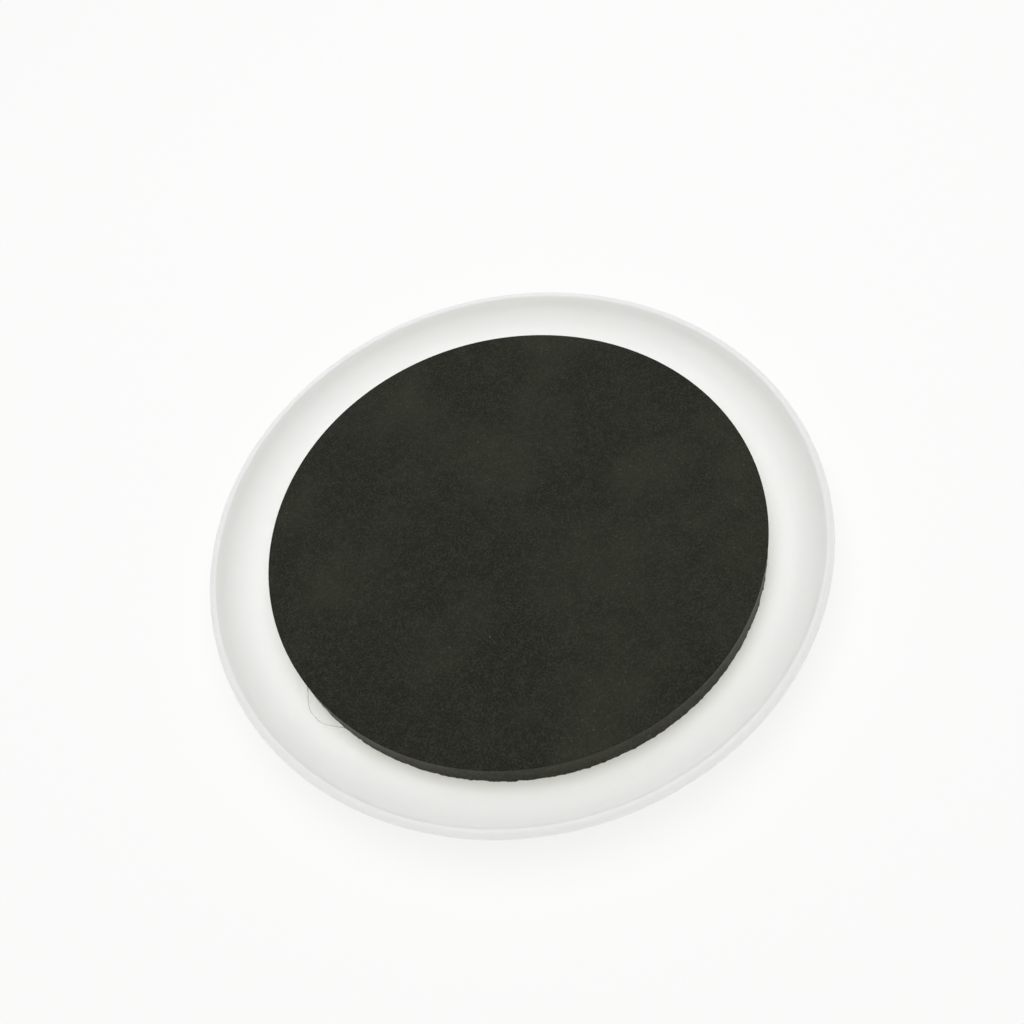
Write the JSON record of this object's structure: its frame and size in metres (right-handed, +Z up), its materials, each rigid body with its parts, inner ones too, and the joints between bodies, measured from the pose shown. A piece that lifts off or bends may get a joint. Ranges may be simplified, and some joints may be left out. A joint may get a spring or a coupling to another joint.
{
  "type": "furniture slider",
  "caption": "Round carpet slider for a furniture foot: a smooth moulded dish with a rolled lip and a foam grip pad bonded inside its rim.",
  "frame": {"origin": "centre of the flat glide face on the underside", "axes": "+Z up along the axis of the dish, towards the foam pad; X and Y in the plane of the glide face"},
  "size_m": [0.12, 0.12, 0.0094],
  "materials": {
    "dish_plastic": "white moulded polyethylene, semi-gloss",
    "adhesive": "pale double-sided film",
    "pad_foam": "black closed-cell foam, matte, cut surface"
  },
  "bodies": {
    "root": {"base_dish": "dish_plastic", "adhesive_film": "adhesive", "foam_pad": "pad_foam"}
  },
  "joints": []
}
